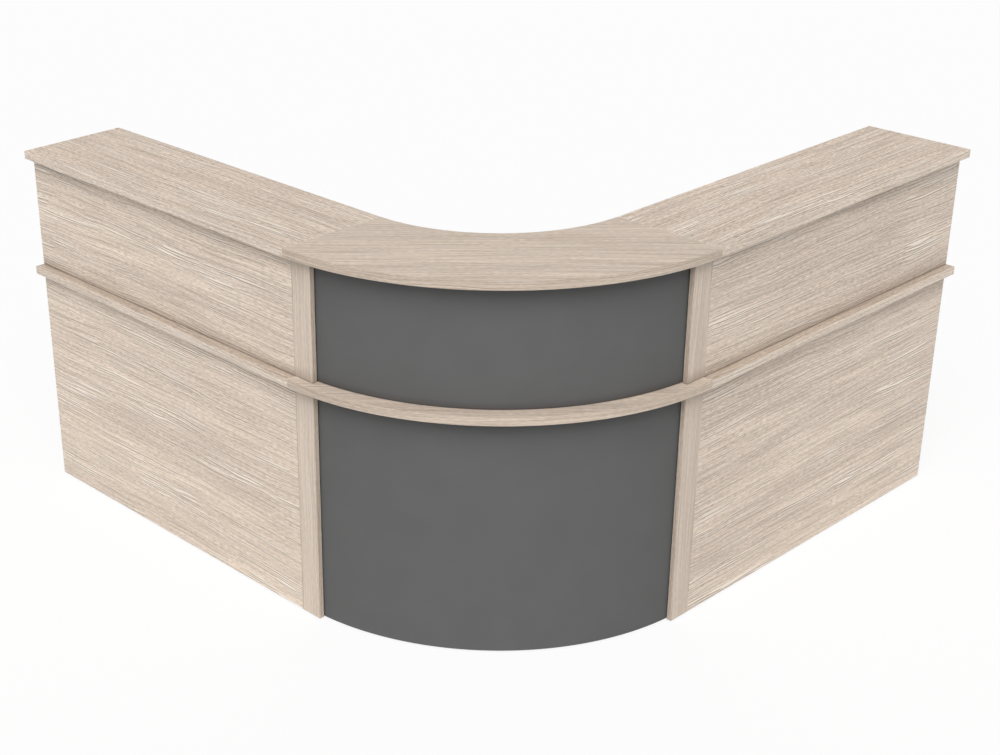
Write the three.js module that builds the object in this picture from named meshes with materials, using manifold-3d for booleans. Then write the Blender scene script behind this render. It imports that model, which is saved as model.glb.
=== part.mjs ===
// Reception desk in an L: two straight units and a quarter-round corner unit between them.
// Millimetres, +Z up. The origin lies on the floor under the middle of the desk's square footprint.
// Visitors stand on the -X and -Y sides, staff sit on the +X +Y side.

import * as THREE from "three";
import { mergeVertices } from "three/addons/utils/BufferGeometryUtils.js";
import Module from "manifold-3d";

const wasm = await Module();
wasm.setup();

// Whole desk
const straightLength = 1200; // joint to free end of a straight unit
const lowerHeight = 705; // fronts and side panels under the work boards
const upperHeight = 345; // fronts and side panels under the counter tops

// Boards
const counterThickness = 25;
const counterDepth = 350; // front edge to staff edge
const counterOverhang = 30; // counter top past the front plane
const workThickness = 25;
const workDepth = 680; // front edge to staff edge
const workOverhang = 30; // work board past the front plane, the belt that shows
const frontThickness = 16; // front panels and cover strips
const sideThickness = 25; // side panels
const upperSideSetback = 20; // counter top past the upper side panels, staff side
const lowerSideSetback = 30; // work board past the lower side panels, staff side
const edgeEase = 1; // chamfer of the board edges

// Corner unit
const staffRadius = 120; // staff edge of the corner work board
const bentThickness = 10; // bent panels
const stripWidth = 72; // cover strips beside the bent panels
const ribThickness = 16; // curved rib behind the lower bent panel
const ribWidth = 60;
const ribLift = 40; // rib above the lower edge of the bent panel
const arcSteps = 24; // pairs of facets on each quarter arc

// Levelling feet
const footHeight = 5; // foot disc, which is also the gap under the panels
const footDiameter = 22;
const footEase = 1;
const stemDiameter = 8;
const footTravel = 12; // how far a foot screws out
const stemGrip = 23; // stem left in the panel when the foot is screwed out
const footInset = 60; // from the front and staff edges of a side panel
const footSpacing = 10; // between the feet of neighbouring side panels, along their edges
const turnedSteps = 16; // facets round turned pieces

// Joining bolts between the units
const boltDiameter = 8;
const boltHeadDiameter = 15;
const boltHeadHeight = 2.5;
const boltHeadEase = 0.8;
const boltInset = 110; // from the front and staff edges of a lower side panel
const boltDrop = 140; // lower bolts under the work board

// Angle brackets of the bent panels
const bracketLeg = 32;
const bracketWidth = 24;
const bracketThickness = 2.5;
const bracketHole = 5;
const bracketSpread = THREE.MathUtils.degToRad(27); // between neighbouring brackets

// Clearances
const boardGap = 0.2; // between flat boards that butt
const fitGap = 0.3; // round turned and bent pieces

// Heights
const lowerBottom = footHeight;
const workBottom = lowerBottom + lowerHeight;
const workTop = workBottom + workThickness;
const counterBottom = workTop + upperHeight;
const counterTop = counterBottom + counterThickness;

// Depths behind the front plane
const sideFront = frontThickness + boardGap;
const workRear = workDepth - workOverhang;
const counterRear = counterDepth - counterOverhang;
const lowerSideRear = workRear - lowerSideSetback;
const upperSideRear = counterRear - upperSideSetback;

// The joint of each arm lies this far behind the other arm's front plane
const cornerReach = workRear + staffRadius;

// Radii about the corner's centre, which lies on both joints
const bentOuter = cornerReach - frontThickness - fitGap;
const bentInner = bentOuter - bentThickness;

const footprintStart = -Math.max(counterOverhang, workOverhang);
const footprintEnd = cornerReach + straightLength;

// Finishes: every piece gets a material of its own
function oakLaminate() {
  return new THREE.MeshStandardMaterial({ color: 0xcfbfb0, roughness: 0.55, metalness: 0 });
}

function darkGreyPanel() {
  return new THREE.MeshStandardMaterial({ color: 0x666666, roughness: 0.6, metalness: 0 });
}

function zincSteel() {
  return new THREE.MeshStandardMaterial({ color: 0xb4b6b8, roughness: 0.35, metalness: 0.9 });
}

function blackPlastic() {
  return new THREE.MeshStandardMaterial({ color: 0x26272a, roughness: 0.7, metalness: 0 });
}

function piece(name, geometry, material) {
  const mesh = new THREE.Mesh(geometry, material);
  mesh.name = name;
  return mesh;
}

// Solids for cutting
function toSolid(geometry) {
  const bare = geometry.clone();
  bare.deleteAttribute("normal");
  bare.deleteAttribute("uv");
  const merged = mergeVertices(bare, 1e-3);
  return new wasm.Manifold(
    new wasm.Mesh({
      numProp: 3,
      vertProperties: merged.attributes.position.array,
      triVerts: new Uint32Array(merged.index.array),
    }),
  );
}

function fromSolid(solid) {
  const mesh = solid.getMesh();
  const geometry = new THREE.BufferGeometry();
  geometry.setAttribute("position", new THREE.BufferAttribute(mesh.vertProperties, 3));
  geometry.setIndex(new THREE.BufferAttribute(mesh.triVerts, 1));
  geometry.computeVertexNormals();
  return geometry;
}

function cutAway(geometry, cutters) {
  let solid = toSolid(geometry);
  for (const cutter of cutters) {
    solid = solid.subtract(toSolid(cutter));
  }
  return fromSolid(solid);
}

// A board of any outline, lying flat with its lower face at z = 0 and its edges chamfered
function boardFromOutline(outline, thickness) {
  const ease = Math.min(edgeEase, thickness / 4);
  const geometry = new THREE.ExtrudeGeometry(outline, {
    depth: thickness - 2 * ease,
    bevelThickness: ease,
    bevelSize: ease,
    bevelOffset: -ease,
    bevelSegments: 1,
    curveSegments: arcSteps,
  });
  return geometry.translate(0, 0, ease);
}

function rectangle(width, height) {
  const outline = new THREE.Shape();
  outline.moveTo(0, 0);
  outline.lineTo(width, 0);
  outline.lineTo(width, height);
  outline.lineTo(0, height);
  return outline;
}

// Boards that fill a box: x, y and z are each a pair of limits
function lyingBoard(x, y, z) {
  const geometry = boardFromOutline(rectangle(x[1] - x[0], y[1] - y[0]), z[1] - z[0]);
  return geometry.translate(x[0], y[0], z[0]);
}

function frontBoard(x, y, z) {
  const geometry = boardFromOutline(rectangle(x[1] - x[0], z[1] - z[0]), y[1] - y[0]);
  return geometry.rotateX(Math.PI / 2).translate(x[0], y[1], z[0]);
}

function sideBoard(x, y, z) {
  const geometry = boardFromOutline(rectangle(z[1] - z[0], y[1] - y[0]), x[1] - x[0]);
  return geometry.rotateY(-Math.PI / 2).translate(x[1], y[0], z[0]);
}

// A quarter ring about the corner's centre, on the visitors' side, with flat ends short of the joints
function quarterRing(outerRadius, innerRadius, endGap) {
  const outerTrim = Math.asin(endGap / outerRadius);
  const innerTrim = Math.asin(endGap / innerRadius);
  const outline = new THREE.Shape();
  outline.absarc(0, 0, outerRadius, Math.PI + outerTrim, 1.5 * Math.PI - outerTrim, false);
  outline.absarc(0, 0, innerRadius, 1.5 * Math.PI - innerTrim, Math.PI + innerTrim, true);
  return outline;
}

function curvedBoard(outline, bottom, top) {
  return boardFromOutline(outline, top - bottom).translate(0, 0, bottom);
}

// Turned pieces: the profile runs up the axis from its lower end, as radius and height
function turned(profile) {
  const points = profile.map(([radius, height]) => new THREE.Vector2(radius, height));
  return new THREE.LatheGeometry(points, turnedSteps).rotateX(Math.PI / 2);
}

function drill(diameter, length) {
  return new THREE.CylinderGeometry(diameter / 2, diameter / 2, length, turnedSteps).rotateX(Math.PI / 2);
}

function levellingFoot() {
  const radius = footDiameter / 2;
  const stemRadius = stemDiameter / 2;
  const discTop = footHeight - fitGap;
  const stemTop = footHeight + footTravel + stemGrip;
  return turned([
    [0, 0],
    [radius - footEase, 0],
    [radius, footEase],
    [radius, discTop - footEase],
    [radius - footEase, discTop],
    [stemRadius, discTop],
    [stemRadius, stemTop - footEase],
    [stemRadius - footEase, stemTop],
    [0, stemTop],
  ]);
}

// Blind bore for a foot's stem, up from the lower edge of a side panel
function stemBore() {
  const depth = footTravel + stemGrip + 2 * fitGap;
  const start = -fitGap;
  return drill(stemDiameter + 2 * fitGap, depth - start).translate(0, 0, (depth + start) / 2);
}

// A bolt with a flat head at each end, standing on its axis with its middle at the origin
function joiningBolt() {
  const headRadius = boltHeadDiameter / 2;
  const grip = sideThickness + fitGap;
  const end = grip + boltHeadHeight;
  return turned([
    [0, -end],
    [headRadius - boltHeadEase, -end],
    [headRadius, -end + boltHeadEase],
    [headRadius, -grip],
    [boltDiameter / 2, -grip],
    [boltDiameter / 2, grip],
    [headRadius, grip],
    [headRadius, end - boltHeadEase],
    [headRadius - boltHeadEase, end],
    [0, end],
  ]);
}

// An angle bracket in the corner between a wall at x = 0 and a board over it at z = 0
function angleBracket() {
  const outline = new THREE.Shape();
  outline.moveTo(0, 0);
  outline.lineTo(-bracketLeg, 0);
  outline.lineTo(-bracketLeg, -bracketThickness);
  outline.lineTo(-2 * bracketThickness, -bracketThickness);
  outline.quadraticCurveTo(-bracketThickness, -bracketThickness, -bracketThickness, -2 * bracketThickness);
  outline.lineTo(-bracketThickness, -bracketLeg);
  outline.lineTo(0, -bracketLeg);
  const angle = new THREE.ExtrudeGeometry(outline, {
    depth: bracketWidth,
    bevelEnabled: false,
    curveSegments: 4,
  });
  angle.translate(0, 0, -bracketWidth / 2).rotateX(Math.PI / 2);
  const holeReach = (bracketLeg + bracketThickness) / 2;
  const holeDepth = 4 * bracketThickness;
  const upHole = drill(bracketHole, holeDepth).translate(-holeReach, 0, 0);
  const wallHole = drill(bracketHole, holeDepth).rotateY(Math.PI / 2).translate(0, 0, -holeReach);
  return cutAway(angle, [upHole, wallHole]);
}

// One arm, in a frame with its joint at x = 0 and its front plane at y = 0.
// The straight unit lies on the outward side of the joint, the corner unit's end on the other.
function buildArm(arm, outward) {
  const group = new THREE.Group();
  const span = (near, far) => (outward > 0 ? [near, far] : [-far, -near]);

  const whole = span(boardGap / 2, straightLength);
  const counterY = [-counterOverhang, counterRear];
  const workY = [-workOverhang, workRear];
  const frontY = [0, frontThickness];
  const lowerZ = [lowerBottom, workBottom - boardGap];
  const workZ = [workBottom, workTop];
  const upperZ = [workTop + boardGap, counterBottom - boardGap];
  const counterZ = [counterBottom, counterTop];

  group.add(piece(`${arm}_counter_top`, lyingBoard(whole, counterY, counterZ), oakLaminate()));
  group.add(piece(`${arm}_work_board`, lyingBoard(whole, workY, workZ), oakLaminate()));
  group.add(piece(`${arm}_upper_front`, frontBoard(whole, frontY, upperZ), oakLaminate()));
  group.add(piece(`${arm}_lower_front`, frontBoard(whole, frontY, lowerZ), oakLaminate()));

  const stripX = span(-stripWidth, -boardGap / 2);
  group.add(piece(`${arm}_upper_strip`, frontBoard(stripX, frontY, upperZ), oakLaminate()));
  group.add(piece(`${arm}_lower_strip`, frontBoard(stripX, frontY, lowerZ), oakLaminate()));

  const lowerBoltHeight = workBottom - boltDrop;
  const bolts = {
    lower_front: [sideFront + boltInset, lowerBoltHeight],
    lower_rear: [lowerSideRear - boltInset, lowerBoltHeight],
    upper: [(sideFront + upperSideRear) / 2, (workTop + counterBottom) / 2],
  };
  const boltBore = ([depth, height]) =>
    drill(boltDiameter + 2 * fitGap, 4 * sideThickness).rotateY(Math.PI / 2).translate(0, depth, height);
  const lowerBores = [boltBore(bolts.lower_front), boltBore(bolts.lower_rear)];
  const upperBores = [boltBore(bolts.upper)];

  // Side panels across the arm, each with two feet under its lower panel.
  // The corner unit's feet stand further in, clear of their neighbours.
  const cornerInset = footInset + footDiameter + footSpacing;
  const sides = {
    end: { x: span(straightLength - sideThickness, straightLength), joined: false, inset: footInset },
    inner: { x: span(boardGap / 2, sideThickness), joined: true, inset: footInset },
    corner: { x: span(-sideThickness, -boardGap / 2), joined: true, inset: cornerInset },
  };
  for (const [place, { x, joined, inset }] of Object.entries(sides)) {
    const middle = (x[0] + x[1]) / 2;
    const footDepths = { front: sideFront + inset, rear: lowerSideRear - inset };
    const stemBores = Object.values(footDepths).map((depth) =>
      stemBore().translate(middle, depth, lowerBottom),
    );
    const lowerSide = sideBoard(x, [sideFront, lowerSideRear], lowerZ);
    const upperSide = sideBoard(x, [sideFront, upperSideRear], upperZ);
    const lowerCuts = joined ? [...stemBores, ...lowerBores] : stemBores;
    const upperCuts = joined ? upperBores : [];
    group.add(piece(`${arm}_${place}_lower_side`, cutAway(lowerSide, lowerCuts), oakLaminate()));
    group.add(piece(`${arm}_${place}_upper_side`, cutAway(upperSide, upperCuts), oakLaminate()));
    for (const [end, depth] of Object.entries(footDepths)) {
      const foot = piece(`${arm}_${place}_${end}_foot`, levellingFoot(), blackPlastic());
      foot.position.set(middle, depth, 0);
      group.add(foot);
    }
  }

  for (const [place, [depth, height]] of Object.entries(bolts)) {
    const bolt = piece(`${arm}_${place}_bolt`, joiningBolt(), zincSteel());
    bolt.position.set(0, depth, height);
    bolt.rotation.y = Math.PI / 2;
    group.add(bolt);
  }
  return group;
}

// The curved pieces of the corner unit, about its centre
function buildCorner() {
  const group = new THREE.Group();
  const topOutline = quarterRing(cornerReach + counterOverhang, cornerReach - counterRear, boardGap / 2);
  const workOutline = quarterRing(cornerReach + workOverhang, cornerReach - workRear, boardGap / 2);
  const bentOutline = quarterRing(bentOuter, bentInner, sideThickness + fitGap);
  const ribOuter = bentInner - fitGap;
  const ribOutline = quarterRing(ribOuter, ribOuter - ribWidth, sideThickness + fitGap);
  const ribBottom = lowerBottom + ribLift;

  const counter = curvedBoard(topOutline, counterBottom, counterTop);
  const work = curvedBoard(workOutline, workBottom, workTop);
  const upperBent = curvedBoard(bentOutline, workTop + boardGap, counterBottom - boardGap);
  const lowerBent = curvedBoard(bentOutline, lowerBottom, workBottom - boardGap);
  const rib = curvedBoard(ribOutline, ribBottom, ribBottom + ribThickness);
  group.add(piece("corner_counter_top", counter, oakLaminate()));
  group.add(piece("corner_work_board", work, oakLaminate()));
  group.add(piece("corner_upper_bent_panel", upperBent, darkGreyPanel()));
  group.add(piece("corner_lower_bent_panel", lowerBent, darkGreyPanel()));
  group.add(piece("corner_base_rib", rib, oakLaminate()));

  // Brackets stand with both edges of their upright leg near the bent panel
  const bracketSeat = Math.sqrt((bentInner - fitGap) ** 2 - (bracketWidth / 2) ** 2);
  const boards = { lower: workBottom, upper: counterBottom };
  for (const [level, underside] of Object.entries(boards)) {
    for (const [place, turn] of Object.entries({ left: -1, middle: 0, right: 1 })) {
      const arm = new THREE.Group();
      arm.rotation.z = 1.25 * Math.PI + turn * bracketSpread;
      const bracket = piece(`corner_${level}_${place}_bracket`, angleBracket(), zincSteel());
      bracket.position.set(bracketSeat, 0, underside - fitGap);
      arm.add(bracket);
      group.add(arm);
    }
  }
  return group;
}

const rightArm = buildArm("right", 1);
rightArm.position.set(cornerReach, 0, 0);

const leftArm = buildArm("left", -1);
leftArm.position.set(0, cornerReach, 0);
leftArm.rotation.z = -Math.PI / 2;

const corner = buildCorner();
corner.position.set(cornerReach, cornerReach, 0);

const desk = new THREE.Group();
const toMiddle = -(footprintStart + footprintEnd) / 2;
desk.position.set(toMiddle, toMiddle, 0);
desk.add(rightArm, leftArm, corner);

const receptionDesk = new THREE.Group();
receptionDesk.name = "reception_desk";
receptionDesk.add(desk);

export default receptionDesk;
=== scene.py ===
import math
import random

import bmesh
import bpy
from mathutils import Matrix, Vector


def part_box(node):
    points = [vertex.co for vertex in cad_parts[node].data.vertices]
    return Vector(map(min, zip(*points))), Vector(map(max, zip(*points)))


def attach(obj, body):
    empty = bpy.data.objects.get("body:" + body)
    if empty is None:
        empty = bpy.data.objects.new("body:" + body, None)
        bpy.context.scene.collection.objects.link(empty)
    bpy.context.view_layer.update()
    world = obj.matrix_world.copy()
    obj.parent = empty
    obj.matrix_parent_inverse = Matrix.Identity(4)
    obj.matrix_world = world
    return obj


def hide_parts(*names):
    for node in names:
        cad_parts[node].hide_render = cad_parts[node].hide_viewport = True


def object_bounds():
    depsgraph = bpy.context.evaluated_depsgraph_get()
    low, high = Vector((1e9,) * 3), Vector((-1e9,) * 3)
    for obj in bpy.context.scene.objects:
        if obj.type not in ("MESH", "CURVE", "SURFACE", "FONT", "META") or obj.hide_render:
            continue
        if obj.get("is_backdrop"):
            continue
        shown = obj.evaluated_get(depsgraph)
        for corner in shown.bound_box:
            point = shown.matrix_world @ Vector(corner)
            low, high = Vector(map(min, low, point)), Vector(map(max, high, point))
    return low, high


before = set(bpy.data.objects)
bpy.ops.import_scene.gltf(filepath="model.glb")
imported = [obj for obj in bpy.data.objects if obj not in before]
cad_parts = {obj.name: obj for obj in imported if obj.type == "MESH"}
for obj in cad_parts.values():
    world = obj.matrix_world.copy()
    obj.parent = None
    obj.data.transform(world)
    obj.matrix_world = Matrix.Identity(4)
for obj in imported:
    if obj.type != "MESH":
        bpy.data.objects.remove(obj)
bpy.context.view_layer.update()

scene = bpy.context.scene


class Wire:  # one socket of a node tree; arithmetic on it adds Math nodes
    def __init__(self, maker, socket):
        self.maker = maker
        self.socket = socket

    def also(self, name):  # another output of the same node
        return Wire(self.maker, self.socket.node.outputs[name])

    def maths(self, operation, *values):
        return self.maker.node("ShaderNodeMath", {"operation": operation}, dict(enumerate(values)))

    def __add__(self, other):
        return self.maths("ADD", self, other)

    def __radd__(self, other):
        return self.maths("ADD", other, self)

    def __sub__(self, other):
        return self.maths("SUBTRACT", self, other)

    def __rsub__(self, other):
        return self.maths("SUBTRACT", other, self)

    def __mul__(self, other):
        return self.maths("MULTIPLY", self, other)

    def __rmul__(self, other):
        return self.maths("MULTIPLY", other, self)


class NodeMaker:  # fills one node tree, of a material, the world or Geometry Nodes
    def __init__(self, tree):
        self.tree = tree
        self.tree.nodes.clear()

    def node(self, kind, settings=None, sockets=None, out=0):  # a list links several wires to one socket
        made = self.tree.nodes.new(kind)
        for name, value in (settings or {}).items():
            setattr(made, name, value)
        for name, value in (sockets or {}).items():
            for one in value if isinstance(value, list) else [value]:
                if isinstance(one, Wire):
                    self.tree.links.new(one.socket, made.inputs[name])
                else:
                    made.inputs[name].default_value = one
        return Wire(self, made.outputs[out]) if len(made.outputs) else None

    def point(self, **parts):  # a vector from its X, Y and Z
        return self.node("ShaderNodeCombineXYZ", None, parts)

    def part(self, vector, axis):
        return self.node("ShaderNodeSeparateXYZ", None, {"Vector": vector}, out=axis)

    def between(self, value, first, last):  # smooth from 0 at the first value to 1 at the last
        sockets = {"Value": value, "From Min": first, "From Max": last}
        return self.node("ShaderNodeMapRange", {"interpolation_type": "SMOOTHSTEP"}, sockets)

    def noise(self, place, scale, detail, roughness):
        sockets = {"Vector": place, "Scale": scale, "Detail": detail, "Roughness": roughness}
        return self.node("ShaderNodeTexNoise", None, sockets, out="Fac")

    def mixed(self, factor, first, second):  # two colours
        return self.node("ShaderNodeMix", {"data_type": "RGBA"}, {0: factor, 6: first, 7: second}, out=2)

    def blended(self, factor, first, second):  # two shaders
        return self.node("ShaderNodeMixShader", None, {0: factor, 1: first, 2: second})

    def emboss(self, look, height):
        sockets = {"Strength": look["bump"], "Distance": look["relief"], "Height": height}
        return self.node("ShaderNodeBump", None, sockets)

    def principled(self, sockets):
        return self.node("ShaderNodeBsdfPrincipled", None, sockets)

    def surface(self, shader):
        self.node("ShaderNodeOutputMaterial", None, {"Surface": shader})


def newMaterial(name):
    material = bpy.data.materials.new(name)
    material.use_nodes = True
    return material, NodeMaker(material.node_tree)


def screenColour(red, green, blue):  # a colour as seen on screen, 0 to 255, in linear values
    def linear(value):
        part = value / 255
        return part / 12.92 if part <= 0.04045 else ((part + 0.055) / 1.055) ** 2.4

    return (linear(red), linear(green), linear(blue), 1.0)


noiseMean = 0.5  # a noise texture's middle value

# Painted shade along the joint where an upper panel stands on the belt: darker towards the joint, on the
# panel and on the belt in front of it
jointShadeLook = {
    "faint": 0.6,  # share of the wide, faint painted shade
    "dense": 0.4,  # share of the thin line at the joint itself
    "stop": (-0.004, -0.001),  # behind the joint there is none
}


# paints shade into the colour near the joint, from the distance kept in the joint UV map
def paintedJointShade(paint, colour, shadeColour, look):  # each piece keeps its distance from the joint in a UV map
    place = paint.node("ShaderNodeUVMap", {"uv_map": "joint"})
    distance = paint.part(place, "X")
    wide, thin = (paint.between(distance, reach, 0.0) for reach in look["jointShadeReach"])
    cover = wide * jointShadeLook["faint"] + thin * jointShadeLook["dense"]
    cover = cover * paint.between(distance, *jointShadeLook["stop"])
    return paint.mixed(cover * look["jointShade"], colour, shadeColour)


# Oak décor laminate: colours, strengths of its marks and their feel
oakLook = {
    "cream": (226, 209, 192),
    "beige": (205, 189, 174),
    "grey": (128, 113, 101),
    "chalk": (246, 237, 225),
    "bands": 0.85,  # strength of the broad bands
    "streaks": 0.12,  # strength of the longer grey streaks
    "fibres": 0.30,  # strength of the fine dark fibres
    "limed": 0.18,  # strength of the fine whitish fibres
    "flecks": 0.30,  # strength of the short specks, dark and light
    "dashes": 0.72,  # strength of the dark line beside each limed pore
    "pores": 0.78,  # strength of the limed pores
    "poreGap": 0.0024,  # from a limed pore to its dark line, in metres
    "poreSpread": 0.1,  # how much of the pores is left outside their patches
    "dashSpread": 0.4,  # and of their dark lines
    "waver": 0.042,  # how far the grain wanders sideways, in metres
    "ripple": 0.014,  # and how far in its short waves
    "roughness": 0.47,
    "fibreRough": 0.10,  # how much rougher the dark fibres are
    "dashRough": 0.06,
    "poreGloss": 0.05,  # how much smoother the limed pores are
    "specular": 0.12,
    "relief": 0.00010,  # depth of the emboss, in metres
    "bump": 0.6,
    "fibreDepth": 0.5,  # shares of that depth
    "poreDepth": 0.6,
    "dashDepth": 0.8,
    "jointShade": 0.62,  # strength of the painted shade at the joint
    "jointShadeReach": (0.042, 0.005),  # how far the painted shade reaches from the joint, faint and dense
}
topTones = {"cream": (221, 200, 180), "beige": (202, 182, 164)}
topGrain = {"fibres": 0.42, "limed": 0.28, "flecks": 0.46}
topLook = {**oakLook, **topTones, **topGrain, "jointShadeReach": (0.090, 0.005)}  # boards that lie flat; on the ledge the painted shade reaches further in front of the upper front
calmTones = {"cream": (211, 194, 176), "beige": (195, 179, 163)}
calmGrain = {"bands": 0.60, "fibres": 0.22, "limed": 0.14, "flecks": 0.14, "dashes": 0.14, "pores": 0.14}
calmLook = {**oakLook, **calmTones, **calmGrain}  # quieter décor of the corner, the strips and the edges
cornerTones = {"cream": (213, 195, 177), "beige": (196, 179, 163)}
cornerGrain = {"bands": 0.75, "fibres": 0.32, "flecks": 0.22, "dashes": 0.40, "pores": 0.32}
# thin line of painted shade on the corner's work board beside the bent panel
cornerJointShade = {"jointShade": 0.40, "jointShadeReach": (0.006, 0.003)}
cornerTopLook = {**calmLook, **cornerTones, **cornerGrain, **cornerJointShade}
stripTones = {"cream": (209, 194, 179), "beige": (194, 180, 166)}
stripGrain = {"bands": 0.50, "fibres": 0.18, "limed": 0.10, "flecks": 0.10}
stripLook = {**calmLook, **stripTones, **stripGrain}  # cover strips beside the bent panels
bandTones = {"cream": (223, 208, 192), "beige": (208, 193, 178)}
bandGrain = {"dashes": 0.36, "pores": 0.40}
bandLook = {**oakLook, **bandTones, **bandGrain, "roughness": 0.40}  # edges of flat boards
edgingTones = {"cream": (203, 187, 171), "beige": (188, 173, 158)}
edgingLook = {**calmLook, **edgingTones, "roughness": 0.40}  # edges of upright panels
shadedStripEdgeLook = {**edgingLook, "cream": (189, 173, 157), "beige": (177, 162, 147)}  # sides of the strips, darker beside the bent panels as painted shade; the corner counter's edge takes the same tone
curveEdgeLook = {**edgingLook, "cream": (194, 178, 162), "beige": (180, 165, 150)}  # belt of the corner

# Noise layers of the grain: length and width in metres, and the noise's slice, detail and roughness
oakLayers = {
    "wander": (0.80, 0.26, 1.3, 2.0, 0.50),
    "ripple": (0.20, 0.080, 2.6, 1.0, 0.50),
    "bands": (1.40, 0.085, 4.1, 2.0, 0.55),
    "streaks": (0.60, 0.014, 7.7, 2.0, 0.55),
    "lines": (0.300, 0.0024, 9.2, 1.0, 0.60),
    "patches": (0.60, 0.070, 11.8, 1.0, 0.50),
    "pores": (0.150, 0.0036, 15.4, 0.0, 0.50),
    "specks": (0.018, 0.0022, 23.1, 0.0, 0.50),
}
# Noise values between which a mark grows from nothing to its full strength
oakMarks = {
    "bands": (0.32, 0.68),
    "streaks": (0.44, 0.72),
    "fibres": (0.49, 0.62),
    "limed": (0.51, 0.38),
    "patches": (0.44, 0.66),
    "pores": (0.565, 0.665),
    "dashes": (0.55, 0.665),
    "flecks": (0.48, 0.72),
    "glints": (0.52, 0.28),
}


def makeOak(name, look):
    material, paint = newMaterial(name)
    place = paint.node("ShaderNodeUVMap", {"uv_map": "grain"})
    lengthwise = paint.part(place, "X")
    straight = lengthwise.also("Y")

    def layer(kind, across):
        length, width, depth, detail, roughness = oakLayers[kind]
        spot = paint.point(X=lengthwise * (1 / length), Y=across * (1 / width), Z=depth)
        return paint.noise(spot, 1.0, detail, roughness)

    def mark(kind, noise):
        return paint.between(noise, *oakMarks[kind])

    def inPatches(spread):  # full in the patches, and this much outside them
        return patches * (1 - spread) + spread

    wander = layer("wander", straight) - noiseMean
    ripple = layer("ripple", straight) - noiseMean
    across = straight + wander * look["waver"] + ripple * look["ripple"]
    lines = layer("lines", across)
    specks = layer("specks", across)
    patches = mark("patches", layer("patches", across))
    fibres = mark("fibres", lines)
    pores = mark("pores", layer("pores", across)) * inPatches(look["poreSpread"])
    dashes = mark("dashes", layer("pores", across + look["poreGap"])) * inPatches(look["dashSpread"])

    grey, chalk = screenColour(*look["grey"]), screenColour(*look["chalk"])
    marks = (  # in the order of printing: the mark, its strength and its colour
        (mark("streaks", layer("streaks", across)), "streaks", grey),
        (mark("flecks", specks), "flecks", grey),
        (mark("glints", specks), "flecks", chalk),
        (fibres, "fibres", grey),
        (mark("limed", lines), "limed", chalk),
        (dashes, "dashes", grey),
        (pores, "pores", chalk),
    )
    bands = mark("bands", layer("bands", across))
    colour = paint.mixed(bands * look["bands"], screenColour(*look["cream"]), screenColour(*look["beige"]))
    for shape, strength, tint in marks:
        colour = paint.mixed(shape * look[strength], colour, tint)
    # painted shade near the joint with the belt
    colour = paintedJointShade(paint, colour, grey, look)
    roughness = look["roughness"] + fibres * look["fibreRough"] + dashes * look["dashRough"]
    roughness = roughness - pores * look["poreGloss"]
    height = 0 - fibres * look["fibreDepth"] - pores * look["poreDepth"] - dashes * look["dashDepth"]
    finish = {"Base Color": colour, "Roughness": roughness, "Normal": paint.emboss(look, height)}
    paint.surface(paint.principled({**finish, "Specular IOR Level": look["specular"]}))
    return material


# Dark grey laminate of the bent panels; a noise is its grains to the metre, detail and roughness
greyLook = {
    "tone": (97, 97, 97),
    "shade": (93, 93, 93),
    "tones": (0.35, 0.65),  # pattern values of shade and tone
    "pearl": (1600.0, 2.0, 0.6),  # fine pearl emboss
    "cloud": (9.0, 3.0, 0.5),
    "cloudShare": 0.35,  # of the clouds in the pattern, with the pearls for the rest
    "roughness": 0.60,
    "pearlRough": 0.18,
    "cloudRough": 0.08,
    "specular": 0.02,
    "relief": 0.00004,
    "bump": 0.5,
    # painted shade at the foot of the upper bent panel: its colour, strength and reach
    "shadeColour": (66, 58, 54),
    "jointShade": 0.60,
    "jointShadeReach": (0.024, 0.005),
}
undersideShadeLook = {**greyLook, "tone": (122, 113, 105), "shade": (112, 103, 96)}  # darker sheet under the boards, there to deepen the shade under the overhangs on the panels below: painted shade


def makeGrey(name, look):
    material, paint = newMaterial(name)
    place = paint.node("ShaderNodeUVMap", {"uv_map": "grain"})
    pearl = paint.noise(place, *look["pearl"])
    cloud = paint.noise(place, *look["cloud"])
    pattern = cloud * look["cloudShare"] + pearl * (1 - look["cloudShare"])
    pattern = paint.between(pattern, *look["tones"])
    colour = paint.mixed(pattern, screenColour(*look["shade"]), screenColour(*look["tone"]))
    # painted shade near the joint with the belt
    colour = paintedJointShade(paint, colour, screenColour(*look["shadeColour"]), look)
    roughness = look["roughness"] + (pearl - noiseMean) * look["pearlRough"]
    roughness = roughness + (cloud - noiseMean) * look["cloudRough"]
    finish = {"Base Color": colour, "Roughness": roughness, "Normal": paint.emboss(look, pearl)}
    paint.surface(paint.principled({**finish, "Specular IOR Level": look["specular"]}))
    return material


# Zinc plated steel of bolts, cams, brackets, screws and stems
zincLook = {
    "bright": (198, 200, 204),
    "dull": (158, 160, 166),
    "tones": (0.35, 0.65),  # spangle values of dull and bright
    "spangle": (260.0, 3.0, 0.6),  # plating grains
    "scratch": (2400.0, 1.0, 0.5),
    "roughness": 0.30,
    "spangleRough": 0.16,
    "scratchRough": 0.10,
    "relief": 0.00003,
    "bump": 0.3,
}


def makeZinc(name, look):
    material, paint = newMaterial(name)
    place = paint.node("ShaderNodeTexCoord", out="Object")
    spangle = paint.noise(place, *look["spangle"])
    scratch = paint.noise(place, *look["scratch"])
    pattern = paint.between(spangle, *look["tones"])
    colour = paint.mixed(pattern, screenColour(*look["dull"]), screenColour(*look["bright"]))
    roughness = look["roughness"] + spangle * look["spangleRough"]
    roughness = roughness + (scratch - noiseMean) * look["scratchRough"]
    finish = {"Base Color": colour, "Roughness": roughness, "Normal": paint.emboss(look, scratch)}
    paint.surface(paint.principled({**finish, "Metallic": 1.0}))
    return material


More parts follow.
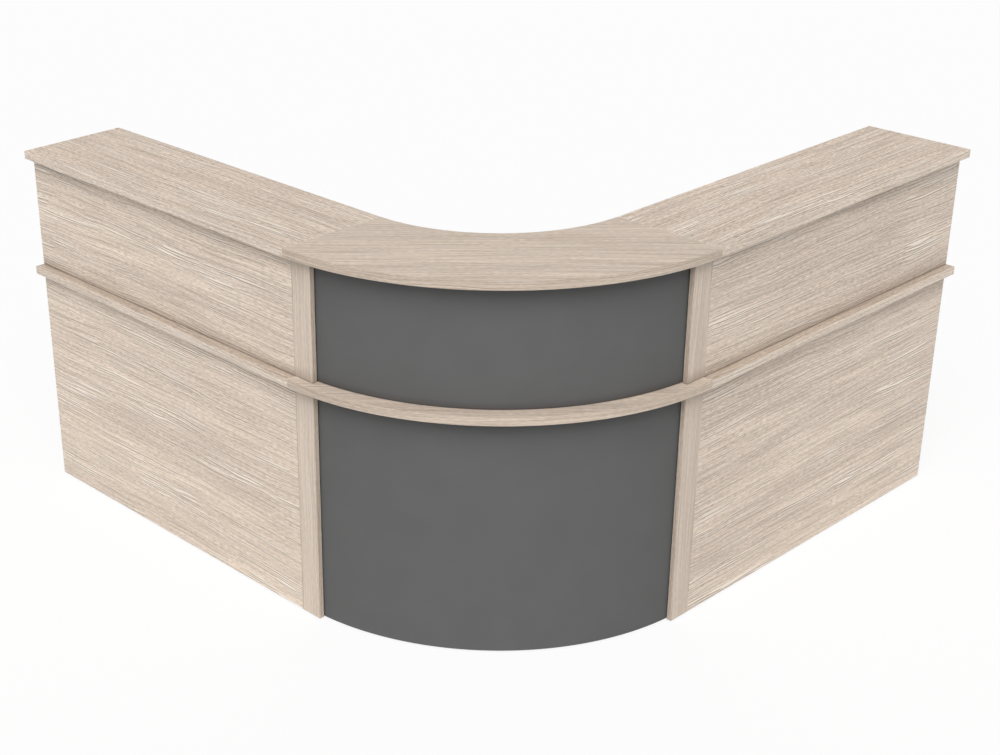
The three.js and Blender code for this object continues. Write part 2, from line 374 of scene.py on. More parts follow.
# Black moulded plastic of the feet
footFinish = {
    "black": (33, 33, 35),
    "scuffed": (62, 61, 60),
    "grain": (1900.0, 2.0, 0.6),
    "scuffs": (180.0, 3.0, 0.7),
    "scuffEdge": (0.52, 0.80),  # noise values between which a scuff begins
    "roughness": 0.42,
    "grainRough": 0.15,
    "scuffRough": 0.15,
    "relief": 0.00005,
    "bump": 0.4,
}


def makeFootPlastic(name, look):
    material, paint = newMaterial(name)
    place = paint.node("ShaderNodeTexCoord", out="Object")
    grain = paint.noise(place, *look["grain"])
    scuffs = paint.between(paint.noise(place, *look["scuffs"]), *look["scuffEdge"])
    colour = paint.mixed(scuffs, screenColour(*look["black"]), screenColour(*look["scuffed"]))
    roughness = look["roughness"] + grain * look["grainRough"] + scuffs * look["scuffRough"]
    finish = {"Base Color": colour, "Roughness": roughness, "Normal": paint.emboss(look, grain)}
    paint.surface(paint.principled(finish))
    return material


oakFace = makeOak("oakFace", oakLook)
oakTop = makeOak("oakTop", topLook)
oakCorner = makeOak("oakCorner", cornerTopLook)
oakStrip = makeOak("oakStrip", stripLook)
oakBand = makeOak("oakBand", bandLook)
oakEdging = makeOak("oakEdging", edgingLook)
oakShadedStripEdge = makeOak("oakShadedStripEdge", shadedStripEdgeLook)
oakCurveEdge = makeOak("oakCurveEdge", curveEdgeLook)
greyLaminate = makeGrey("greyLaminate", greyLook)
# undersides darkened as painted shade
undersideShadeSheet = makeGrey("undersideShadeSheet", undersideShadeLook)
zincPlate = makeZinc("zincPlate", zincLook)
footPlastic = makeFootPlastic("footPlastic", footFinish)
print("materials made:", len(bpy.data.materials))


# Making, finishing and shaping of pieces
skyward = Vector((0, 0, 1))
sharpAngle = math.radians(12)  # edges that turn further than this stay sharp
squareOn = 0.999  # a face whose normal has more than this along an axis is square to it


def addObject(name, data):
    added = bpy.data.objects.new(name, data)
    scene.collection.objects.link(added)
    return added


def newPiece(name, solid, finishes=()):  # a bmesh becomes an object at the origin
    mesh = bpy.data.meshes.new(name)
    solid.to_mesh(mesh)
    solid.free()
    for finish in finishes:
        mesh.materials.append(finish)
    return addObject(name, mesh)


def settle(piece):  # the result of the modifiers becomes the plain mesh
    depsgraph = bpy.context.evaluated_depsgraph_get()
    mesh = bpy.data.meshes.new_from_object(piece.evaluated_get(depsgraph))
    piece.modifiers.clear()
    piece.data = mesh


def dress(piece, nodes=(), body="desk"):
    piece.data.shade_smooth()
    piece.data.set_sharp_from_angle(angle=sharpAngle)
    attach(piece, body)
    if nodes:
        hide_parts(*nodes)


def skin(solid, loops):  # walls between neighbouring loops of points, and a cap at each end
    count = len(loops[0])
    for near, far in zip(loops, loops[1:]):
        for step in range(count):
            after = (step + 1) % count
            solid.faces.new((near[step], near[after], far[after], far[step]))
    solid.faces.new(loops[0][::-1])
    solid.faces.new(loops[-1])


def middleOf(node):
    low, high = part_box(node)
    return (low + high) / 2


def onAxis(axis, amount):
    step = Vector((0, 0, 0))
    step[axis] = amount
    return step


# Flat boards: the laminated faces have an edge band round them
boardLook = {
    "ease": 0.0018,  # rounding of every edge
    "easeSteps": 3,
    "easeProfile": 0.5,  # a round one
    "edging": 0.0022,  # thickness of the edge band
    "boreSteps": 32,
    "seed": 23,  # which part of the décor each board is cut from
    "sheet": 9.0,  # length of décor that the boards are cut from
    "sideShift": 0.4,  # across the décor, between faces that point along different axes
}
draw = random.Random(boardLook["seed"])


def cutFromSheet():
    return draw.uniform(0, boardLook["sheet"]), draw.uniform(0, boardLook["sheet"])


def grainOnBoard(mesh, size, grainAxis):  # u runs along the grain and v across, both in metres
    startAlong, startAcross = cutFromSheet()
    layer = mesh.uv_layers.new(name="grain")
    for face in mesh.polygons:
        facing = max(range(3), key=lambda axis: abs(face.normal[axis]))
        flat = [axis for axis in range(3) if axis != facing]
        run = grainAxis if grainAxis in flat else max(flat, key=lambda axis: size[axis])
        side = flat[0] if flat[1] == run else flat[1]
        shift = startAcross + boardLook["sideShift"] * facing
        for loop in face.loop_indices:
            spot = mesh.vertices[mesh.loops[loop].vertex_index].co
            layer.data[loop].uv = (startAlong + spot[run], shift + spot[side])


def markJoint(mesh, distance):  # keeps how far each corner is from the joint with the belt
    layer = mesh.uv_layers.new(name="joint")
    for corner in mesh.loops:
        layer.data[corner.index].uv = (distance(mesh.vertices[corner.vertex_index].co), 0.0)


def farAway(spot):  # for pieces without that joint
    return 1.0


def bore(piece, holes):  # each hole is its middle, its axis, its radius and its length
    cutter = bmesh.new()
    for middle, axis, radius, length in holes:
        turn = skyward.rotation_difference(axis).to_matrix().to_4x4()
        bmesh.ops.create_cone(
            cutter,
            cap_ends=True,
            segments=boardLook["boreSteps"],
            radius1=radius,
            radius2=radius,
            depth=length,
            matrix=Matrix.Translation(middle) @ turn,
        )
    drill = newPiece("drill", cutter)
    cut = piece.modifiers.new("bores", "BOOLEAN")
    cut.object = drill
    cut.solver = "EXACT"
    settle(piece)
    bpy.data.objects.remove(drill)


def makeBoard(node, grainAxis, finishes, holes=(), joint=farAway):  # finishes of faces, edges and underside
    low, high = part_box(node)
    size = high - low
    thin = min(range(3), key=lambda axis: size[axis])
    solid = bmesh.new()
    place = Matrix.Translation((low + high) / 2) @ Matrix.Diagonal((*size, 1))
    bmesh.ops.create_cube(solid, size=1, matrix=place)
    bmesh.ops.bevel(
        solid,
        geom=solid.edges[:],
        offset=boardLook["ease"],
        segments=boardLook["easeSteps"],
        profile=boardLook["easeProfile"],
        affect="EDGES",
    )
    solid.normal_update()
    faces = [face for face in solid.faces if abs(face.normal[thin]) > squareOn]
    for each in solid.faces:
        each.material_index = 1
    bmesh.ops.inset_individual(solid, faces=faces, thickness=boardLook["edging"] - boardLook["ease"])
    for each in faces:
        each.material_index = 2 if len(finishes) > 2 and each.normal.z < -squareOn else 0
    piece = newPiece(f"{node}_board", solid, finishes)
    if holes:
        bore(piece, holes)
    grainOnBoard(piece.data, size, grainAxis)
    markJoint(piece.data, joint)
    dress(piece, [node])


# Fittings whose bores go through the side panels
footLook = {
    "ribs": 24,  # grip ribs round the disc
    "ribDepth": 0.0005,
    "ribMargin": 0.0012,  # from the ribs to the disc's bottom and top
    "discTop": 0.0047,
    "bottomInset": 0.0018,  # of the face that stands on the floor
    "lowerRound": (0.0006, 0.0008),  # rise and inset of the roundings below and above the ribs
    "upperRound": (0.0005, 0.0010),
    "topInset": 0.0022,
    "stemRadius": 0.004,
    "stemTip": 0.0008,  # chamfer of the stem's end
    "steelFrom": 0.001,  # from the disc's top to where the stem counts as steel
    "boreRadius": 0.0043,
    "boreSpare": 0.0003,
    "ridge": 0.00055,  # half width of the thread's ridge
    "rootDepth": 1.6,  # how many ridges the stem's core is thinner
    "threadStart": 2,  # how many ridges above the disc
    "threadSpare": 0.003,  # how much shorter the thread is than the stem
    "pitch": 0.0015,
    "steps": 96,
    "turnSteps": 18,
    "ridgeSteps": 6,
}
boltLook = {
    "shankRadius": 0.004,
    "boreRadius": 0.0043,
    "boreLength": 0.12,  # through the side panels of both units and beyond
    "headRadius": 0.0075,
    "headHeight": 0.0025,
    "headEase": 0.0008,
    "socketWidth": 0.005,  # across the flats
    "socketDepth": 0.0017,
    "seat": 0.0253,  # from the joint to the underside of a head
    "headSteps": 40,
    "shankSteps": 24,
    "seed": 3,  # how the heads are turned
}
arms = {"right": 0, "left": 1}  # the axis that each arm runs along
sides = ("end", "inner", "corner")
ends = ("front", "rear")


def boltBore(node, arm):
    return (middleOf(node), onAxis(arms[arm], 1), boltLook["boreRadius"], boltLook["boreLength"])


def stemBore(node):
    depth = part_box(node)[1].z + footLook["boreSpare"]
    middle = middleOf(node)
    middle.z = depth / 2
    return (middle, skyward, footLook["boreRadius"], depth)


def aboveBelt(node):  # height over the belt on which an upper panel stands
    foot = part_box(node)[0].z
    return lambda spot: spot.z - foot


def beforeFront(arm):  # distance in front of the upper front panel
    across = 1 - arms[arm]
    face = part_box(f"{arm}_upper_front")[0][across]
    return lambda spot: face - spot[across]


topFinishes = [oakTop, oakBand, undersideShadeSheet]
panelFinishes = [oakFace, oakEdging]
stripFinishes = [oakStrip, oakShadedStripEdge]
for arm, axis in arms.items():
    makeBoard(f"{arm}_counter_top", axis, topFinishes)
    makeBoard(f"{arm}_work_board", axis, topFinishes, joint=beforeFront(arm))
    makeBoard(f"{arm}_upper_front", axis, panelFinishes, joint=aboveBelt(f"{arm}_upper_front"))
    makeBoard(f"{arm}_lower_front", axis, panelFinishes)
    makeBoard(f"{arm}_upper_strip", 2, stripFinishes, joint=aboveBelt(f"{arm}_upper_strip"))
    makeBoard(f"{arm}_lower_strip", 2, stripFinishes)
    for side in sides:
        lowerHoles = [stemBore(f"{arm}_{side}_{end}_foot") for end in ends]
        upperHoles = []
        if side != "end":  # two units meet here and are bolted together
            lowerHoles += [boltBore(f"{arm}_lower_{end}_bolt", arm) for end in ends]
            upperHoles += [boltBore(f"{arm}_upper_bolt", arm)]
        makeBoard(f"{arm}_{side}_lower_side", 2, panelFinishes, lowerHoles)
        makeBoard(f"{arm}_{side}_upper_side", 2, panelFinishes, upperHoles)
print("flat boards made")


# Quarter-round corner: boards and bent panels swept about one upright line
cornerLook = {
    "centre": (-0.2, -0.2),
    "middle": 225.0,  # degrees, from the centre to the middle of the curve
    "counterDepth": 0.350,
    "staffRadius": 0.120,  # inner round of the work board
    "bentThickness": 0.010,
    "ribWidth": 0.060,
    "arcSteps": 120,
    "bentEase": 0.0008,
    "endEase": 0.02,  # share of the rounding that is left at the ends
    "lying": 0.7,  # a face that points up or down by more has the décor across the corner
    "standing": 0.6,  # and one that points out or in by more has it round the curve
    "wallShift": 3.0,  # place of walls and ends on the décor
    "endShift": 5.0,
}
cornerCentre = Vector((*cornerLook["centre"], 0))
cornerAcross = Vector((1, -1, 0)).normalized()  # the way of the décor on the corner's boards
cornerInward = skyward.cross(cornerAcross)
quarterStart, quarterEnd = math.pi, 1.5 * math.pi


def innerRadius(node, width):  # from the corner's centre to the inside of a ring of this width
    return cornerCentre.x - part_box(node)[0].x - width


counterInner = innerRadius("corner_counter_top", cornerLook["counterDepth"])
bentInner = innerRadius("corner_lower_bent_panel", cornerLook["bentThickness"])
ribInner = innerRadius("corner_base_rib", cornerLook["ribWidth"])


def beforeBend(spot):  # distance in front of the upper bent panel
    return (spot - cornerCentre).to_2d().length - bentInner - cornerLook["bentThickness"]


def ringSection(outer, inner, low, high, ease, border):  # rounded rectangle of radius and height
    steps = boardLook["easeSteps"]
    corners = (  # radius, height, which way is out and up, and where the rounding starts, in degrees
        (outer, high, 1, 1, 0),
        (inner, high, -1, 1, 90),
        (inner, low, -1, -1, 180),
        (outer, low, 1, -1, 270),
    )
    section = []
    for radius, height, outward, upward, start in corners:
        rounding = []
        for step in range(steps + 1):
            angle = math.radians(start + 90 * step / steps)
            rounding.append((
                radius - outward * ease + ease * math.cos(angle),
                height - upward * ease + ease * math.sin(angle),
            ))
        rim = (radius - outward * border, height)  # where the edge band ends
        section += [*rounding, rim] if outward == upward else [rim, *rounding]
    return section


def grainOnRing(mesh):
    startAlong, startAcross = cutFromSheet()
    layer = mesh.uv_layers.new(name="grain")
    for face in mesh.polygons:
        outward = (face.center - cornerCentre).to_2d()
        lying = abs(face.normal.z) > cornerLook["lying"]
        standing = abs(face.normal.to_2d().dot(outward.normalized())) > cornerLook["standing"]
        for loop in face.loop_indices:
            spot = mesh.vertices[mesh.loops[loop].vertex_index].co - cornerCentre
            if lying:
                u, v = spot.dot(cornerAcross), spot.dot(cornerInward)
            elif standing:
                u = (math.atan2(spot.y, spot.x) % (2 * math.pi)) * outward.length
                v = spot.z + cornerLook["wallShift"]
            else:
                u, v = spot.to_2d().length, spot.z + cornerLook["endShift"]
            layer.data[loop].uv = (startAlong + u, startAcross + v)


def makeRing(node, inner, ease, finishes, slot, joint=farAway):
    low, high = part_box(node)
    outer = cornerCentre.x - low.x
    endGap = cornerCentre.x - high.x
    border = boardLook["edging"]
    whole = ringSection(outer, inner, low.z, high.z, ease, border)
    shrunk = (outer - ease, inner + ease, low.z + ease, high.z - ease, ease * cornerLook["endEase"])
    shrunk = ringSection(*shrunk, border)
    steps = cornerLook["arcSteps"]
    stations = [(shrunk, endGap, 0.0)]
    stations += [(whole, endGap + ease, step / steps) for step in range(steps + 1)]
    stations += [(shrunk, endGap, 1.0)]
    solid = bmesh.new()
    loops = []
    for section, gap, share in stations:
        loop = []
        for radius, height in section:
            first = quarterStart + math.asin(gap / radius)
            last = quarterEnd - math.asin(gap / radius)
            angle = first + (last - first) * share
            spot = cornerCentre + Vector((radius * math.cos(angle), radius * math.sin(angle), height))
            loop.append(solid.verts.new(spot))
        loops.append(loop)
    skin(solid, loops)
    bmesh.ops.recalc_face_normals(solid, faces=solid.faces[:])
    solid.normal_update()
    for face in solid.faces:
        reach = (face.calc_center_median() - cornerCentre).to_2d().length
        broad = abs(face.normal.z) > squareOn and inner + border < reach < outer - border
        kind = 1 if not broad else 2 if face.normal.z < 0 else 0
        face.material_index = min(kind, len(finishes) - 1)
    piece = newPiece(f"{node}_curve", solid, finishes)
    grainOnRing(piece.data)
    markJoint(piece.data, joint)
    dress(piece, [node])


counterOak = (boardLook["ease"], [oakCorner, oakShadedStripEdge, undersideShadeSheet], "oak_laminate")
beltOak = (boardLook["ease"], [oakCorner, oakCurveEdge, undersideShadeSheet], "oak_laminate")
bentSheet = (cornerLook["bentEase"], [greyLaminate], "dark_grey_laminate")
makeRing("corner_counter_top", counterInner, *counterOak)
makeRing("corner_work_board", cornerLook["staffRadius"], *beltOak, joint=beforeBend)
makeRing("corner_base_rib", ribInner, *beltOak)
makeRing("corner_upper_bent_panel", bentInner, *bentSheet, joint=aboveBelt("corner_upper_bent_panel"))
makeRing("corner_lower_bent_panel", bentInner, *bentSheet)
print("corner boards and bent panels made")


# Geometry Nodes trees for the small fittings
socketKinds = {  # of the inputs that aren't plain numbers
    "Geometry": "NodeSocketGeometry",
    "Finish": "NodeSocketMaterial",
    "Spin Seed": "NodeSocketInt",
}


def newTree(name, inputs):
    tree = bpy.data.node_groups.new(name, "GeometryNodeTree")
    for each in inputs:
        kind = socketKinds.get(each, "NodeSocketFloat")
        tree.interface.new_socket(each, in_out="INPUT", socket_type=kind)
    tree.interface.new_socket("Result", in_out="OUTPUT", socket_type="NodeSocketGeometry")
    return tree, NodeMaker(tree)


def applyTree(piece, tree, values):
    modifier = piece.modifiers.new(tree.name, "NODES")
    modifier.node_group = tree
    for item in tree.interface.items_tree:
        if item.in_out == "INPUT" and item.name in values:
            modifier[item.identifier] = values[item.name]
    settle(piece)


def attribute(maker, name, kind):
    settings = {"data_type": kind}
    return maker.node("GeometryNodeInputNamedAttribute", settings, {"Name": name}, out="Attribute")


def moved(maker, shape, **parts):
    sockets = {"Geometry": shape, "Translation": maker.point(**parts)}
    return maker.node("GeometryNodeTransform", None, sockets)


def block(maker, x, y, z):  # a box about the origin
    return maker.node("GeometryNodeMeshCube", None, {"Size": maker.point(X=x, Y=y, Z=z)})


def frustum(maker, steps, bottom, top, height):  # stands on the origin
    sockets = {"Vertices": steps, "Radius Bottom": bottom, "Radius Top": top, "Depth": height}
    return maker.node("GeometryNodeMeshCone", None, sockets)


def joined(maker, shapes):
    return maker.node("GeometryNodeJoinGeometry", None, {"Geometry": shapes})


def fused(maker, shapes):
    settings = {"operation": "UNION", "solver": "EXACT"}
    return maker.node("GeometryNodeMeshBoolean", settings, {"Mesh 2": shapes})


def without(maker, shape, cutters):
    settings = {"operation": "DIFFERENCE", "solver": "EXACT"}
    return maker.node("GeometryNodeMeshBoolean", settings, {"Mesh 1": shape, "Mesh 2": cutters})


def crossed(maker, given, shape, height, thickness):  # cuts a cross into its top, half the thickness deep
    length, width = given.also("Cross Length"), given.also("Cross Width")
    bars = [block(maker, length, width, thickness), block(maker, width, length, thickness)]
    return without(maker, shape, [moved(maker, bar, Z=height) for bar in bars])


def fittingTree(name, sizes, shape):  # one fitting on each point, turned to the point's facing
    tree, maker = newTree(name, ["Geometry", *sizes, "Spin Seed", "Finish"])
    given = maker.node("NodeGroupInput", out="Geometry")
    facing = {"Vector": attribute(maker, "facing", "FLOAT_VECTOR")}
    turn = maker.node("FunctionNodeAlignRotationToVector", {"axis": "Z"}, facing)
    anyAngle = {"Seed": given.also("Spin Seed"), 3: 2 * math.pi}  # socket 3 is the highest value
    spin = maker.node("FunctionNodeRandomValue", {"data_type": "FLOAT"}, anyAngle, out=1)
    spin = maker.node("FunctionNodeEulerToRotation", None, {"Euler": maker.point(Z=spin)})
    turn = maker.node("FunctionNodeRotateRotation", {"rotation_space": "LOCAL"}, {0: turn, 1: spin})
    placing = {"Points": given, "Instance": shape(maker, given), "Rotation": turn}
    placed = maker.node("GeometryNodeInstanceOnPoints", None, placing)
    solid = maker.node("GeometryNodeRealizeInstances", None, {"Geometry": placed})
    coated = {"Geometry": solid, "Material": given.also("Finish")}
    coated = maker.node("GeometryNodeSetMaterial", None, coated)
    maker.node("NodeGroupOutput", None, {"Result": coated})
    return tree


def fitted(name, treeName, spots, sizes, shape, seed):  # each spot is a place and the way it faces
    mesh = bpy.data.meshes.new(name)
    mesh.from_pydata([place for place, facing in spots], [], [])
    layer = mesh.attributes.new("facing", "FLOAT_VECTOR", "POINT")
    for index, (place, facing) in enumerate(spots):
        layer.data[index].vector = facing
    piece = addObject(name, mesh)
    tree = fittingTree(treeName, sizes, shape)
    applyTree(piece, tree, {**sizes, "Spin Seed": seed, "Finish": zincPlate})
    return piece


# Joining bolts: a head at each end, in the side panels of both units
def boltShape(maker, given):  # head with a hexagon socket, and half of the shank
    radius, height = given.also("Head Radius"), given.also("Head Height")
    ease = given.also("Edge")
    steps = boltLook["headSteps"]
    lower = frustum(maker, steps, radius, radius, height - ease)
    upper = moved(maker, frustum(maker, steps, radius, radius - ease, ease), Z=height - ease)
    hexagon = frustum(maker, 6, given.also("Socket Radius"), given.also("Socket Radius"), height)
    socket = moved(maker, hexagon, Z=height - given.also("Socket Depth"))
    shank, length = given.also("Shank Radius"), given.also("Shank Length")
    stem = moved(maker, frustum(maker, boltLook["shankSteps"], shank, shank, length), Z=length * -1)
    return joined(maker, [without(maker, fused(maker, [lower, upper]), socket), stem])


boltNodes = [f"{arm}_{place}_bolt" for arm in arms for place in ("lower_front", "lower_rear", "upper")]
boltSpots = []
for node in boltNodes:
    axis = arms[node.split("_")[0]]
    for way in (-1, 1):
        boltSpots.append((middleOf(node) + onAxis(axis, way * boltLook["seat"]), onAxis(axis, way)))
boltSizes = {
    "Head Radius": boltLook["headRadius"],
    "Head Height": boltLook["headHeight"],
    "Edge": boltLook["headEase"],
    "Socket Radius": boltLook["socketWidth"] / math.sqrt(3),
    "Socket Depth": boltLook["socketDepth"],
    "Shank Radius": boltLook["shankRadius"],
    "Shank Length": boltLook["seat"],
}
bolts = fitted("joining_bolts", "joiningBolts", boltSpots, boltSizes, boltShape, boltLook["seed"])
dress(bolts, boltNodes)
print("joining bolts made:", len(boltNodes))


# Cam discs in the undersides of the boards and the backs of the fronts, beside the side panels
camLook = {
    "fromSide": 0.034,  # from the side panel to the middle of a cam
    "fromEnd": 0.060,
    "slope": 0.6,  # of the disc's rim, to its height
    "recess": 1.2,  # thickness of the cross that is cut out, to the disc's height
    "steps": 36,
    "seed": 11,  # how the discs are turned
    "sizes": {"Disc Radius": 0.0074, "Disc Height": 0.0006, "Cross Length": 0.0086, "Cross Width": 0.0018},
}
inward = {"end": -1, "inner": 1, "corner": -1}  # from a side panel into its unit, along the arm


def camShape(maker, given):  # cam disc with a sloping rim and a cross recess
    radius, height = given.also("Disc Radius"), given.also("Disc Height")
    disc = frustum(maker, camLook["steps"], radius, radius - height * camLook["slope"], height)
    return crossed(maker, given, disc, height, height * camLook["recess"])


camSpots = []
for arm, axis in arms.items():
    depthAxis = 1 - axis
    for side in sides:
        for level, board in (("lower", "work_board"), ("upper", "counter_top")):
            low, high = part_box(f"{arm}_{side}_{level}_side")
            margin = Vector.Fill(3, camLook["fromEnd"])
            first, last = low + margin, high - margin
            face = high[axis] if inward[side] > 0 else low[axis]
            beside = onAxis(axis, face + inward[side] * camLook["fromSide"])
            under = onAxis(2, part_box(f"{arm}_{board}")[0].z)
            for depth in (first[depthAxis], last[depthAxis]):
                camSpots.append((beside + onAxis(depthAxis, depth) + under, -skyward))
            if side == "corner":  # the bent panels have brackets instead
                continue
            back = onAxis(depthAxis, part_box(f"{arm}_{level}_front")[1][depthAxis])
            for height in (first.z, last.z):
                camSpots.append((beside + back + onAxis(2, height), onAxis(depthAxis, 1)))
cams = fitted("cam_discs", "camDiscs", camSpots, camLook["sizes"], camShape, camLook["seed"])
dress(cams)
print("cam discs made:", len(camSpots))


# Screws through the holes of the angle brackets, which keep their CAD shape
screwLook = {
    "leg": 0.032,  # of a bracket
    "thickness": 0.0025,
    "spread": 27.0,  # degrees between the brackets
    "shoulder": (0.94, 0.55),  # radius and height of the head's shoulder, as shares of the head's
    "crown": 0.60,  # radius of its flat top, likewise
    "steps": 28,
    "seed": 5,  # how the heads are turned
    "sizes": {"Head Radius": 0.0042, "Head Height": 0.0022, "Cross Length": 0.0044, "Cross Width": 0.0009},
}


def screwShape(maker, given):  # pan head with a cross recess
    radius, height = given.also("Head Radius"), given.also("Head Height")
    reach, rise = screwLook["shoulder"]
    steps = screwLook["steps"]
    lower = frustum(maker, steps, radius, radius * reach, height * rise)
    upper = frustum(maker, steps, radius * reach, radius * screwLook["crown"], height * (1 - rise))
    head = fused(maker, [lower, moved(maker, upper, Z=height * rise)])
    return crossed(maker, given, head, height, height)


screwSpots = []
hole = (screwLook["leg"] + screwLook["thickness"]) / 2  # from the bend of a bracket to its holes
for level in ("lower", "upper"):
    for place, turn in (("left", -1), ("middle", 0), ("right", 1)):
        node = f"corner_{level}_{place}_bracket"
        angle = math.radians(cornerLook["middle"] + turn * screwLook["spread"])
        outward = Vector((math.cos(angle), math.sin(angle), 0))
        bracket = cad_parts[node].data
        seat = max((vertex.co - cornerCentre).dot(outward) for vertex in bracket.vertices)
        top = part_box(node)[1].z
        lying = outward * (seat - hole) + skyward * (top - screwLook["thickness"])
        upright = outward * (seat - screwLook["thickness"]) + skyward * (top - hole)
        screwSpots += [(cornerCentre + lying, -skyward), (cornerCentre + upright, -outward)]
        bracket.materials.clear()
        bracket.materials.append(zincPlate)
screws = fitted(
    "bracket_screws", "bracketScrews", screwSpots, screwLook["sizes"], screwShape, screwLook["seed"]
)
dress(screws)
print("bracket screws made:", len(screwSpots))


# Levelling feet: a ribbed disc on a threaded stem
def threadTree():
    sizes = ["Stem Radius", "Ridge", "Turns", "Start", "Rise", "Across", "Depth"]
    tree, maker = newTree("stemThread", ["Geometry", *sizes, "Finish"])
    given = maker.node("NodeGroupInput", out="Geometry")
    radius = given.also("Stem Radius") - given.also("Ridge")
    helix = {"Start Radius": radius, "End Radius": radius, "Height": given.also("Rise")}
    helix |= {"Resolution": footLook["turnSteps"], "Rotations": given.also("Turns")}
    helix = maker.node("GeometryNodeCurveSpiral", None, helix)
    profile = {"Resolution": footLook["ridgeSteps"], "Radius": given.also("Ridge")}
    profile = maker.node("GeometryNodeCurvePrimitiveCircle", None, profile)
    ridge = {"Curve": helix, "Profile Curve": profile, "Fill Caps": True}
    ridge = maker.node("GeometryNodeCurveToMesh", None, ridge)
    ridge = moved(maker, ridge, X=given.also("Across"), Y=given.also("Depth"), Z=given.also("Start"))
    steel = {"Geometry": ridge, "Name": "steel", "Value": True}
    steel = maker.node("GeometryNodeStoreNamedAttribute", {"data_type": "BOOLEAN", "domain": "FACE"}, steel)
    solid = {"Geometry": joined(maker, [given, steel])}
    solid = maker.node("GeometryNodeRealizeInstances", None, solid)
    coated = {"Geometry": solid, "Selection": attribute(maker, "steel", "BOOLEAN")}
    coated = maker.node("GeometryNodeSetMaterial", None, {**coated, "Material": given.also("Finish")})
    maker.node("NodeGroupOutput", None, {"Result": coated})
    return tree


def turnedSolid(rings, steps):  # rings are height and radius, and a radius may be a function of the angle
    solid = bmesh.new()
    loops = []
    for height, radius in rings:
        loop = []
        for step in range(steps):
            angle = 2 * math.pi * step / steps
            reach = radius(angle) if callable(radius) else radius
            loop.append(solid.verts.new((reach * math.cos(angle), reach * math.sin(angle), height)))
        loops.append(loop)
    skin(solid, loops)
    return solid


def makeFoot(node, tree):
    low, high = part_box(node)
    radius = (high.x - low.x) / 2
    top = footLook["discTop"]
    core = footLook["stemRadius"] - footLook["rootDepth"] * footLook["ridge"]
    tip = footLook["stemTip"]
    lowerRise, lowerInset = footLook["lowerRound"]
    upperRise, upperInset = footLook["upperRound"]

    def ribbed(angle):
        return radius - footLook["ribDepth"] * (0.5 - 0.5 * math.cos(footLook["ribs"] * angle))

    rings = [
        (0.0, radius - footLook["bottomInset"]),
        (lowerRise, radius - lowerInset),
        (footLook["ribMargin"], ribbed),
        (top - footLook["ribMargin"], ribbed),
        (top - upperRise, radius - upperInset),
        (top, radius - footLook["topInset"]),
        (top, core),
        (high.z - tip, core),
        (high.z, core - tip),
    ]
    solid = turnedSolid(rings, footLook["steps"])
    place = middleOf(node)
    place.z = low.z
    bmesh.ops.translate(solid, verts=solid.verts[:], vec=place)
    piece = newPiece(f"{node}_moulding", solid, [footPlastic])
    steel = piece.data.attributes.new("steel", "BOOLEAN", "FACE")
    for face in piece.data.polygons:
        steel.data[face.index].value = face.center.z > top + footLook["steelFrom"]
    rise = high.z - top - footLook["threadSpare"]
    values = {
        "Stem Radius": footLook["stemRadius"],
        "Ridge": footLook["ridge"],
        "Turns": rise / footLook["pitch"],
        "Start": top + footLook["threadStart"] * footLook["ridge"],
        "Rise": rise,
        "Across": place.x,
        "Depth": place.y,
        "Finish": zincPlate,
    }
    applyTree(piece, tree, values)
    dress(piece, [node], node)


footTree = threadTree()
footNodes = [f"{arm}_{side}_{end}_foot" for arm in arms for side in sides for end in ends]
for node in footNodes:
    makeFoot(node, footTree)
print("levelling feet made:", len(footNodes))


# Floor and light
stageLook = {
    "floorSize": 60.0,
    "floorWhite": 0.88,
    "paperShare": 0.84,  # how much of the floor's look is plain white paper
    "wallStrength": 0.60,  # low wall round the studio, on the customers' side
    "rearStrength": 2.80,  # and behind the staff side
    "rearRim": (0.0, 0.35),  # smaller of a direction's x and y, from the one strength to the other
    "wallTop": (13.0, 17.0),  # degrees above the floor, from full to dark
    "ceilingStrength": 0.435,
    "ceilingRim": (46.0, 54.0),  # degrees, from dark to full
    "sunStrength": 0.975,  # brightness on a white sheet that faces the sun
    "sunHeight": 49.3,
    "sunSide": 39.0,  # degrees from the left arm's front towards the right arm's
    "sunSoftness": 46.0,
    "sunDistance": 6.0,
}


def seenRays(maker):  # rays that should meet a plain white background
    camera = maker.node("ShaderNodeLightPath", out="Is Camera Ray")
    seen = camera.maths("MAXIMUM", camera, camera.also("Is Glossy Ray"))
    return seen.maths("MAXIMUM", seen, camera.also("Is Transmission Ray"))


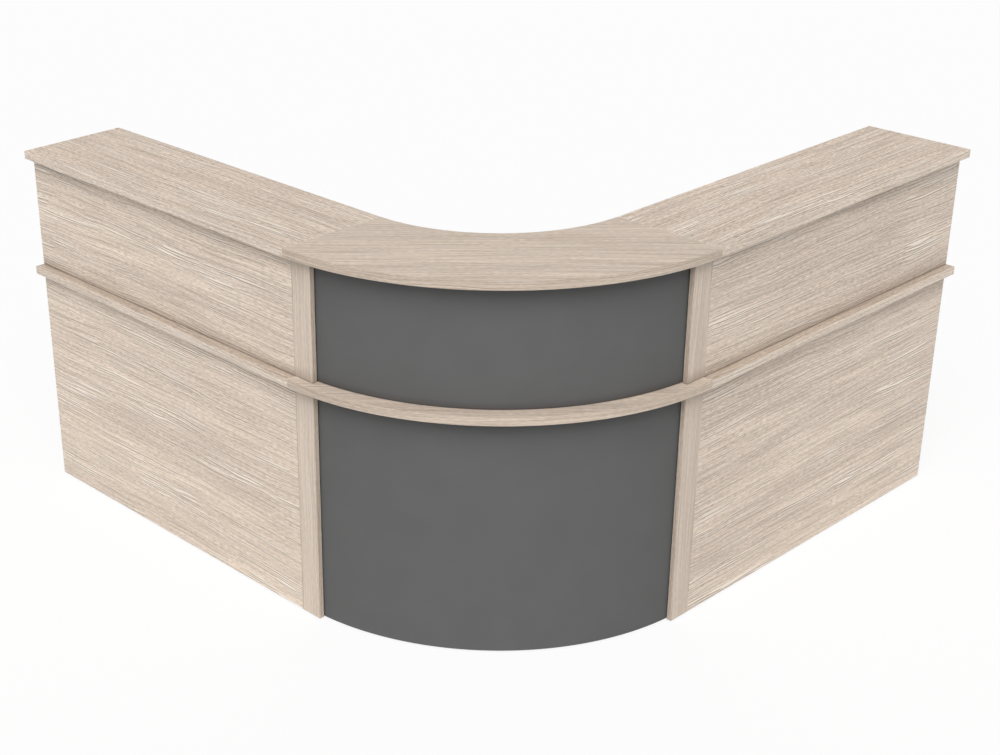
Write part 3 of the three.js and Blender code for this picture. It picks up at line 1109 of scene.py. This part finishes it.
def makeFloor(look):
    material, paint = newMaterial("floorWhite")
    white = (look["floorWhite"],) * 3 + (1.0,)
    plain = paint.principled({"Base Color": white, "Roughness": 1.0, "Specular IOR Level": 0.0})
    paper = paint.node("ShaderNodeEmission", None, {"Strength": 1.0})
    paint.surface(paint.blended(seenRays(paint) * look["paperShare"], plain, paper))
    solid = bmesh.new()
    bmesh.ops.create_grid(solid, x_segments=1, y_segments=1, size=look["floorSize"] / 2)
    newPiece("floor", solid, [material])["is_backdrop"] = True


def makeWorld(look):  # a bright wall round the studio, a dark gap and a bright ceiling
    world = bpy.data.worlds.new("studio")
    world.use_nodes = True
    scene.world = world
    sky = NodeMaker(world.node_tree)
    rise = sky.part(sky.node("ShaderNodeTexCoord", out="Generated"), "Z")
    both = rise.maths("MINIMUM", rise.also("X"), rise.also("Y"))

    def glow(strength):
        return sky.node("ShaderNodeBackground", None, {"Strength": strength, "Color": (1, 1, 1, 1)})

    def edge(first, last):  # 0 at the first angle above the floor, 1 at the last
        return sky.between(rise, math.sin(math.radians(first)), math.sin(math.radians(last)))

    behind = sky.between(both, *look["rearRim"])
    wall = sky.blended(behind, glow(look["wallStrength"]), glow(look["rearStrength"]))
    room = sky.blended(edge(*look["wallTop"]), wall, glow(0.0))
    room = sky.blended(edge(*look["ceilingRim"]), room, glow(look["ceilingStrength"]))
    room = sky.blended(seenRays(sky), room, glow(1.0))
    sky.node("ShaderNodeOutputWorld", None, {"Surface": room})


def makeSun(look):
    lamp = bpy.data.lights.new("softSun", "SUN")
    lamp.energy = math.pi * look["sunStrength"]
    lamp.angle = math.radians(look["sunSoftness"])
    height, side = math.radians(look["sunHeight"]), math.radians(look["sunSide"])
    level = Vector((-math.cos(side), -math.sin(side), 0))
    towards = level * math.cos(height) + skyward * math.sin(height)
    sun = addObject("softSun", lamp)
    sun.rotation_euler = (-towards).to_track_quat("-Z", "Y").to_euler()
    sun.location = towards * look["sunDistance"]


# Camera at the photograph's place
cameraLook = {
    "place": (-3.775, -3.5584, 2.6979),
    "ahead": (0.612222, 0.658746, -0.437308),
    "up": (0.306861, 0.311771, 0.899241),
    "lens": 64.404,
    "sensor": 36.0,
    "shift": (0.1177, 0.0518),
    "farthest": 200.0,
}


def makeCamera(look):
    lens = bpy.data.cameras.new("camera")
    lens.lens = look["lens"]
    lens.sensor_width = look["sensor"]
    lens.shift_x, lens.shift_y = look["shift"]
    lens.clip_end = look["farthest"]
    ahead = Vector(look["ahead"]).normalized()
    right = ahead.cross(Vector(look["up"])).normalized()
    turn = Matrix((right, right.cross(ahead), -ahead)).transposed().to_4x4()
    camera = addObject("camera", lens)
    camera.matrix_world = Matrix.Translation(look["place"]) @ turn
    scene.camera = camera


makeFloor(stageLook)
makeWorld(stageLook)
makeSun(stageLook)
makeCamera(cameraLook)
scene.view_settings.view_transform = "Standard"
print("stage, light and camera set")

low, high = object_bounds()
